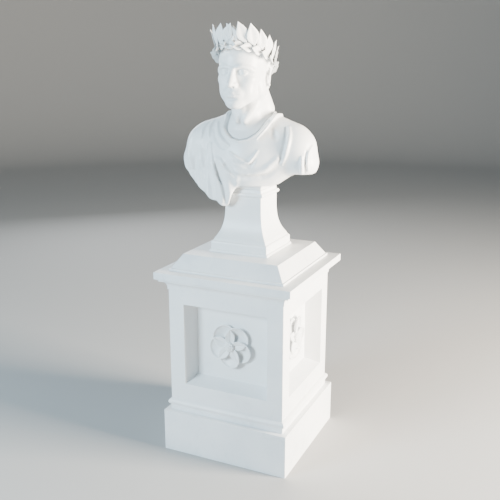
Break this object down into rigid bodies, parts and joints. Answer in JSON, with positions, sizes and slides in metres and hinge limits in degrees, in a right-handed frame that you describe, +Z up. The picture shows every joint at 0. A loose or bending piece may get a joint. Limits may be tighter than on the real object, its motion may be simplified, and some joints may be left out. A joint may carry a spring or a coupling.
{
  "type": "marble bust on pedestal",
  "caption": "Draped and laurel-crowned marble bust on a flared socle, lifting off a square pedestal with sunk panels and carved rosettes.",
  "frame": {"origin": "centre of the underside of the base plinth", "axes": "+Z up along the pedestal's axis, -Y the way the face looks, +X the figure's left arm"},
  "size_m": [0.494, 0.48, 1.402],
  "materials": {
    "pedestal_marble": "honed white marble",
    "statuary_marble": "smooth carved white statuary marble",
    "dowel_steel": "plain stainless steel bar",
    "pin_brass": "plain brass rod"
  },
  "bodies": {
    "pedestal": {"base_plinth": "pedestal_marble", "base_course": "pedestal_marble", "die_front": "pedestal_marble", "die_right": "pedestal_marble", "die_back": "pedestal_marble", "die_left": "pedestal_marble", "rosette_front": "statuary_marble", "rosette_right": "statuary_marble", "rosette_back": "statuary_marble", "rosette_left": "statuary_marble", "rosette_pins": "pin_brass", "bed_mould": "pedestal_marble", "cap_slab": "pedestal_marble", "blocking_course": "pedestal_marble", "plinth_dowels": "dowel_steel", "die_foot_dowels": "dowel_steel", "die_head_dowels": "dowel_steel", "corner_cramps": "dowel_steel", "cap_dowels": "dowel_steel", "blocking_dowels": "dowel_steel", "bust_dowel": "dowel_steel"},
    "bust": {"socle_foot": "statuary_marble", "socle_shaft": "statuary_marble", "socle_collar": "statuary_marble", "socle_rod": "dowel_steel", "torso": "statuary_marble", "head": "statuary_marble", "neck_dowel": "dowel_steel", "wreath_left_spray": "statuary_marble", "wreath_right_spray": "statuary_marble", "wreath_pins": "pin_brass"}
  },
  "joints": [
    {"name": "bust_lift", "type": "slide", "parent": "pedestal", "child": "bust", "axis": [0, 0, 1], "range_m": [0, 0.14]}
  ]
}
